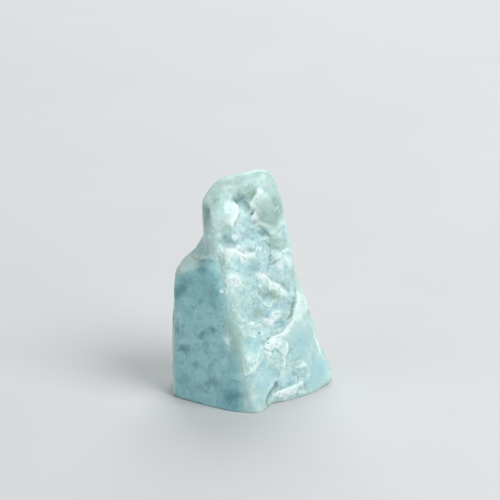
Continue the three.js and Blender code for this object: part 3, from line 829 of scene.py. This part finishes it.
# The polished face looks to the front left. It fades out at the shoulder, up the sheet, at the
# nose, across the sheet, and in the green band of the worn edge.
POLISHED_HEADING = np.radians(242.5)
POLISHED_FACING = (0.6, 0.95)
POLISHED_TOP = (23.8, 24.3)
POLISHED_RIGHT = (-2.8, -0.6)
polished_normal = np.array([np.cos(POLISHED_HEADING), np.sin(POLISHED_HEADING), 0])
polished = smooth_step(normals @ polished_normal, *POLISHED_FACING) * (1 - broken)
polished *= 1 - smooth_step(sheet_y, *POLISHED_TOP)
polished *= 1 - smooth_step(sheet_x, *POLISHED_RIGHT)
polished *= 1 - np.clip(front_zones["green"], 0, 1)

# The relief: swelling, chips, crystals and grain, the marks of the front and the back, broken
# stone set back on the other sides, and the lowered foot
large_share = broken + (1 - broken) * (1 - polished) * WORN_SHARE
large_share *= 1 - (1 - FRONT_SHARE) * facing_front
crystals = OLD_CRYSTALS + FRESH_CRYSTALS * fresh
rough = large_share * chipped(wandered, LARGE_CHIPS)
rough += broken * crystals * (chipped(wandered, CRYSTAL_CHIPS) + swell(points, GRAIN))
front_height = (
    dents(sheet_x, sheet_y, FRONT_DENTS)
    + dents(plain_x, plain_y, PITS)
    + ledges(sheet_x, sheet_y, FRONT_LEDGES)
    + cracks(sheet_x, sheet_y, FRONT_CRACKS)
)
back_height = dents(sheet_x, points[:, 2] + up_wander, BACK_DENTS)
relief = swell(points, SWELLS) + rough + facing_front * front_height + facing_back * back_height
relief -= HIDDEN_BREAK_DEPTH * broken * (1 - facing_front)
relief += (FOOT_DROP - relief) * facing_floor
shaped = points + normals * relief[:, None]
shaped[:, 2] = np.maximum(shaped[:, 2], 0)

# How far each point stands out from the stone close round it, -1 to 1. Where it lies deep, the colour
# gets painted shade.
CLOSE_ROUNDS = 12
STANDS_OUT = 0.12
close_round = relief
for _ in range(CLOSE_ROUNDS):
    close_round = mean_of_neighbours(close_round)
stands_out = np.clip((relief - close_round) / STANDS_OUT, -1, 1)

# Painted shade in the pits, and in the cracks by each one's depth over the deepest
deepest = max(depth for _, _, depth in FRONT_CRACKS)
pit_and_crack_shade = -dents(plain_x, plain_y, [(at, half, turn, 1) for at, half, turn, _ in PITS])
pit_and_crack_shade = np.maximum(pit_and_crack_shade, -CRACK_SHADE * cracks(sheet_x, sheet_y, FRONT_CRACKS) / deepest)
STONE_MASKS = {
    "broken": broken,
    "polished": polished,
    "stands_out": stands_out,
    "bright_lines": bright_lines,
    "pit_and_crack_shade": np.clip(pit_and_crack_shade, 0, 1) * facing_front,
    **zone_masks,
}

# The front corner of the nose is worn further back than that of the CAD solid
WORN_CORNER = 0.7 * MILLIMETRE


def fit_to_box(places, low, high):
    """The places scaled and moved so that their box is the one from low to high."""
    first, last = places.min(axis=0), places.max(axis=0)
    return low + (places - first) * (high - low) / (last - first)


stone_low, stone_high = (np.array(corner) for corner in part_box("larimar_stone"))
stone_low[1] += WORN_CORNER
shaped = fit_to_box(shaped, stone_low, stone_high)
mesh = bpy.data.meshes.new("rough_larimar")
mesh.from_pydata(shaped.tolist(), [], cells.tolist())
mesh.shade_smooth()
for name, values in STONE_MASKS.items():
    mask = mesh.attributes.new(name, "FLOAT", "POINT")
    mask.data.foreach_set("value", values.astype(np.float32))
mesh.update()
stone = bpy.data.objects.new("rough_larimar", mesh)
bpy.context.scene.collection.objects.link(stone)


def screen_colour(red, green, blue):
    """A colour given as on a screen, 0 to 255, as the linear values that a shader takes: a small
    share of 255 is divided by 12.92, a larger one s becomes ((s + 0.055) / 1.055) to the 2.4."""
    shares = np.array([red, green, blue]) / 255
    linear = np.where(shares <= 0.04045, shares / 12.92, ((shares + 0.055) / 1.055)**2.4)
    return (*linear.tolist(), 1.0)


PALE_SEA = screen_colour(186, 219, 217)
SOFT_WHITE = screen_colour(200, 229, 228)
MINT_SEA = screen_colour(166, 205, 194)
ICE_SEA = screen_colour(156, 198, 208)
PALE_GREEN = screen_colour(182, 210, 203)
CRYSTAL_WHITE = screen_colour(236, 254, 251)
SEA_GREEN = screen_colour(152, 186, 174)
ICE_BLUE = screen_colour(158, 204, 212)
POLISHED_PALE = screen_colour(180, 223, 226)
POLISHED_LIGHT = screen_colour(161, 210, 214)
POLISHED_MIDDLE = screen_colour(142, 198, 204)
POLISHED_DEEP = screen_colour(118, 180, 188)
BLOTCH_BLUE = screen_colour(76, 136, 148)
# The colour of painted shade in the pits, the cracks and the hollow places
PAINTED_HOLLOW_SHADE = screen_colour(110, 140, 138)


class Shader:
    """A material's node tree, with short ways to add the nodes that this stone's finish needs."""

    def __init__(self, name):
        self.material = bpy.data.materials.new(name)
        self.material.use_nodes = True
        self.tree = self.material.node_tree
        self.principled = self.tree.nodes["Principled BSDF"]
        self.place = self.add("ShaderNodeTexCoord").outputs["Object"]

    def add(self, kind, **settings):
        """A new node with its settings made."""
        node = self.tree.nodes.new(kind)
        for name, value in settings.items():
            setattr(node, name, value)
        return node

    def feed(self, value, socket):
        """Links an output to a socket, or sets the socket to a plain value."""
        if isinstance(value, bpy.types.NodeSocket):
            self.tree.links.new(value, socket)
        else:
            socket.default_value = value

    def mask(self, name):
        """One of the stone's masks, as a number at each point."""
        return self.add("ShaderNodeAttribute", attribute_name=name).outputs["Fac"]

    def noise(self, size, detail, roughness, distortion=0.0):
        """Clouds with features of about that size in millimetres, from 0 to 1."""
        node = self.add("ShaderNodeTexNoise")
        self.feed(self.place, node.inputs["Vector"])
        self.feed(1 / (size * MILLIMETRE), node.inputs["Scale"])
        self.feed(detail, node.inputs["Detail"])
        self.feed(roughness, node.inputs["Roughness"])
        self.feed(distortion, node.inputs["Distortion"])
        return node.outputs["Fac"]

    def math(self, operation, first, second):
        """A sum, a product or the like of two values."""
        node = self.add("ShaderNodeMath", operation=operation)
        self.feed(first, node.inputs[0])
        self.feed(second, node.inputs[1])
        return node.outputs["Value"]

    def blend(self, first, second, share):
        """That share of the first value and the rest of the second, added up."""
        main = self.math("MULTIPLY", first, share)
        rest = self.math("MULTIPLY", second, 1 - share)
        return self.math("ADD", main, rest)

    def spread(self, value, stretch, shares=(0.0, 1.0)):
        """The value over that stretch turned smoothly from the first share into the second."""
        node = self.add("ShaderNodeMapRange", interpolation_type="SMOOTHSTEP")
        self.feed(value, node.inputs["Value"])
        for name, number in zip(("From Min", "From Max", "To Min", "To Max"), (*stretch, *shares)):
            self.feed(number, node.inputs[name])
        return node.outputs["Result"]

    def mix(self, share, first, second):
        """The first colour where the share is 0, the second where it is 1. The node's sockets 6
        and 7 take colours, and its output 2 gives one."""
        node = self.add("ShaderNodeMix", data_type="RGBA")
        self.feed(share, node.inputs[0])
        self.feed(first, node.inputs[6])
        self.feed(second, node.inputs[7])
        return node.outputs[2]


# Patterns in the stone: size in millimetres, detail, roughness and distortion
PATTERNS = {
    "clouds": (5.0, 5, 0.55, 0.8),
    "mottles": (1.7, 7, 0.62, 0.5),
    "wisps": (2.6, 7, 0.65, 1.2),
    "sugar": (0.5, 5, 0.65, 0.0),
    "fine": (0.25, 4, 0.7, 0.0),
}
MOTTLES_IN_UNEVEN = 0.7
SUGAR_IN_GRAIN = 0.7

# The colours of each kind of face. The clouds turn the first into the second over a stretch of
# their values. Then others are laid on: pattern, its stretch, the shares there and the colour.
FACE_COLOURS = {
    "worn": (PALE_GREEN, PALE_SEA, (0.42, 0.6), [
        ("wisps", (0.5, 0.7), (0, 0.3), CRYSTAL_WHITE),
    ]),
    "broken": (MINT_SEA, ICE_SEA, (0.42, 0.58), [
        ("wisps", (0.4, 0.6), (0.9, 0.2), SOFT_WHITE),
        ("uneven", (0.48, 0.65), (0, 0.35), CRYSTAL_WHITE),
    ]),
    "polished": (POLISHED_MIDDLE, POLISHED_LIGHT, (0.4, 0.6), [
        ("mottles", (0.48, 0.66), (0, 0.8), POLISHED_DEEP),
        ("wisps", (0.52, 0.7), (0, 0.7), POLISHED_PALE),
    ]),
}

# Over them, mask by mask: how ragged the uneven pattern makes its rim, the strength that its
# colour begins at, its greatest share and the colour
MASK_COLOURS = {
    "green": (1.4, 0.1, 0.9, SEA_GREEN),
    "blue": (1.4, 0.1, 0.75, ICE_BLUE),
    "deep": (1.2, 0.1, 0.75, BLOTCH_BLUE),
    "white": (1.2, 0.15, 0.95, CRYSTAL_WHITE),
    "bright_lines": (1.0, 0.2, 1.0, CRYSTAL_WHITE),
}

# Last, what stands out is paler and what lies deep is darker with painted shade: stretch, greatest share
# and colour
RELIEF_COLOURS = [((0.2, 1.0), 0.25, CRYSTAL_WHITE), ((-0.3, -1.0), 0.35, PAINTED_HOLLOW_SHADE)]
FINE_STRETCH = (0.3, 0.7)
BRIGHTNESS = (0.9, 1.1)

# Roughness from worn to broken stone, and how much the uneven pattern adds to it
ROUGHNESS = (0.33, 0.46)
UNEVEN_ROUGHNESS = 0.6

# The finest grain, in the bump: its height, its share on every face, and what old and white
# broken stone add to that
GRAIN_HEIGHT = 0.3 * MILLIMETRE
LEAST_GRAIN = 0.1
BROKEN_GRAIN = (0.4, 0.7)

# How far light goes into the stone, and how it bends there
STONE_DEPTH = {
    "Subsurface Weight": 0.4,
    "Subsurface Radius": (0.8, 1.0, 1.0),
    "Subsurface Scale": 1.0 * MILLIMETRE,
    "IOR": 1.6,
}


def larimar_finish():
    """Mottled blue and sea green stone, satin where it is worn, duller and paler where broken."""
    shader = Shader("larimar")
    broken_share = shader.mask("broken")
    patterns = {name: shader.noise(*settings) for name, settings in PATTERNS.items()}
    patterns["uneven"] = shader.blend(patterns["mottles"], patterns["sugar"], MOTTLES_IN_UNEVEN)
    unevenness = shader.math("SUBTRACT", patterns["uneven"], 0.5)

    tones = {}
    for face, (first, second, stretch, layers) in FACE_COLOURS.items():
        tone = shader.mix(shader.spread(patterns["clouds"], stretch), first, second)
        for pattern, stretch, shares, colour in layers:
            tone = shader.mix(shader.spread(patterns[pattern], stretch, shares), tone, colour)
        tones[face] = tone
    tone = shader.mix(broken_share, tones["worn"], tones["broken"])
    tone = shader.mix(shader.mask("polished"), tone, tones["polished"])
    for name, (raggedness, low, most, colour) in MASK_COLOURS.items():
        ragged = shader.math("MULTIPLY", unevenness, raggedness)
        strength = shader.math("ADD", shader.mask(name), ragged)
        tone = shader.mix(shader.spread(strength, (low, 1.0), (0, most)), tone, colour)
    for stretch, most, colour in RELIEF_COLOURS:
        share = shader.spread(shader.mask("stands_out"), stretch, (0, most))
        tone = shader.mix(share, tone, colour)
    # Painted shade in the pits and cracks
    tone = shader.mix(shader.mask("pit_and_crack_shade"), tone, PAINTED_HOLLOW_SHADE)
    speckled = shader.add("ShaderNodeHueSaturation")
    shader.feed(shader.spread(patterns["fine"], FINE_STRETCH, BRIGHTNESS), speckled.inputs["Value"])
    shader.feed(tone, speckled.inputs["Color"])
    shader.feed(speckled.outputs["Color"], shader.principled.inputs["Base Color"])

    dullness = shader.spread(broken_share, (0, 1), ROUGHNESS)
    mottled = shader.math("MULTIPLY", unevenness, UNEVEN_ROUGHNESS)
    shader.feed(shader.math("ADD", dullness, mottled), shader.principled.inputs["Roughness"])

    grain = shader.blend(patterns["sugar"], patterns["fine"], SUGAR_IN_GRAIN)
    white_grain = shader.spread(shader.mask("white"), (0, 1), BROKEN_GRAIN)
    grain_share = shader.math("ADD", shader.math("MULTIPLY", broken_share, white_grain), LEAST_GRAIN)
    bump = shader.add("ShaderNodeBump")
    bump.inputs["Distance"].default_value = GRAIN_HEIGHT
    shader.feed(shader.math("MULTIPLY", grain, grain_share), bump.inputs["Height"])
    shader.feed(bump.outputs["Normal"], shader.principled.inputs["Normal"])

    for name, value in STONE_DEPTH.items():
        shader.principled.inputs[name].default_value = value
    return shader.material


mesh.materials.append(larimar_finish())
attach(stone, "root")
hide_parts("larimar_stone")

# The floor
# A plain pale sheet of matt card, wide enough to fill the view from every side.
# It lies level under the stone's foot.

FLOOR_HALF = 1.5
FLOOR_GAP = 0.00002
CARD_GREY = screen_colour(190, 192, 193)
CARD_PALE = screen_colour(196, 198, 199)
CARD_CLOUDS = (40.0, 3, 0.5)
CARD_ROUGHNESS = 0.9


def pale_card():
    """Even, pale and matt, with the least cloudiness."""
    shader = Shader("pale_card")
    colour = shader.mix(shader.noise(*CARD_CLOUDS), CARD_GREY, CARD_PALE)
    shader.feed(colour, shader.principled.inputs["Base Color"])
    shader.principled.inputs["Roughness"].default_value = CARD_ROUGHNESS
    return shader.material


floor_mesh = bpy.data.meshes.new("floor")
floor_corners = [
    (x * FLOOR_HALF, y * FLOOR_HALF, -FLOOR_GAP) for x, y in ((-1, -1), (1, -1), (1, 1), (-1, 1))
]
floor_mesh.from_pydata(floor_corners, [], [(0, 1, 2, 3)])
floor_mesh.materials.append(pale_card())
floor = bpy.data.objects.new("floor", floor_mesh)
bpy.context.scene.collection.objects.link(floor)

# The light
# One large soft lamp high at the front right, one high behind, a weak one at the front left, and
# a pale room all round.

STONE_MIDDLE = Vector((0, 0, 0.02))

# Lamps: name, heading in degrees from +X towards +Y, lift in degrees, distance and width in metres,
# and power in watts
SOFT_LAMPS = [
    ("key_lamp", -35, 48, 0.6, 0.35, 3.1),
    ("top_lamp", 85, 42, 0.6, 0.5, 2.6),
    ("fill_lamp", 215, 30, 0.8, 0.5, 0.9),
]
ROOM_COLOUR = (0.95, 0.98, 1.0, 1.0)
ROOM_STRENGTH = 0.3


def soft_lamp(name, heading, lift, distance, width, power):
    """A square lamp in that direction from the stone, turned to face it."""
    turn, rise = np.radians(heading), np.radians(lift)
    away = Vector((np.cos(rise) * np.cos(turn), np.cos(rise) * np.sin(turn), np.sin(rise)))
    lamp = bpy.data.lights.new(name, "AREA")
    lamp.energy = power
    lamp.size = width
    holder = bpy.data.objects.new(name, lamp)
    holder.location = STONE_MIDDLE + away * distance
    holder.rotation_euler = away.to_track_quat("Z", "Y").to_euler()
    bpy.context.scene.collection.objects.link(holder)


for lamp_row in SOFT_LAMPS:
    soft_lamp(*lamp_row)

room = bpy.data.worlds.new("pale_room")
room.use_nodes = True
room_light = room.node_tree.nodes["Background"]
room_light.inputs["Color"].default_value = ROOM_COLOUR
room_light.inputs["Strength"].default_value = ROOM_STRENGTH
bpy.context.scene.world = room
bpy.context.scene.view_settings.view_transform = "Standard"

# The camera
# It looks at the stone's front along the line of sight that the marks are placed by, from 0.6 m
# off with a long lens. The frame is 92.5 mm wide at the stone.

PHOTO_WIDTH = 500
MILLIMETRES_PER_PIXEL = 0.185
CAMERA_DISTANCE = 0.6
NEAREST_SEEN = 0.01
SENSOR_WIDTH = 36.0
CAMERA_TARGET = Vector((-0.385, -0.575, 28.28)) * MILLIMETRE

camera_data = bpy.data.cameras.new("camera")
camera_data.sensor_width = SENSOR_WIDTH
view_width = PHOTO_WIDTH * MILLIMETRES_PER_PIXEL * MILLIMETRE
camera_data.lens = SENSOR_WIDTH * CAMERA_DISTANCE / view_width
camera_data.clip_start = NEAREST_SEEN
camera = bpy.data.objects.new("camera", camera_data)
sight = Vector(SIGHT_LINE)
camera.location = CAMERA_TARGET + sight * CAMERA_DISTANCE
camera.rotation_euler = sight.to_track_quat("Z", "Y").to_euler()
bpy.context.scene.collection.objects.link(camera)
bpy.context.scene.camera = camera
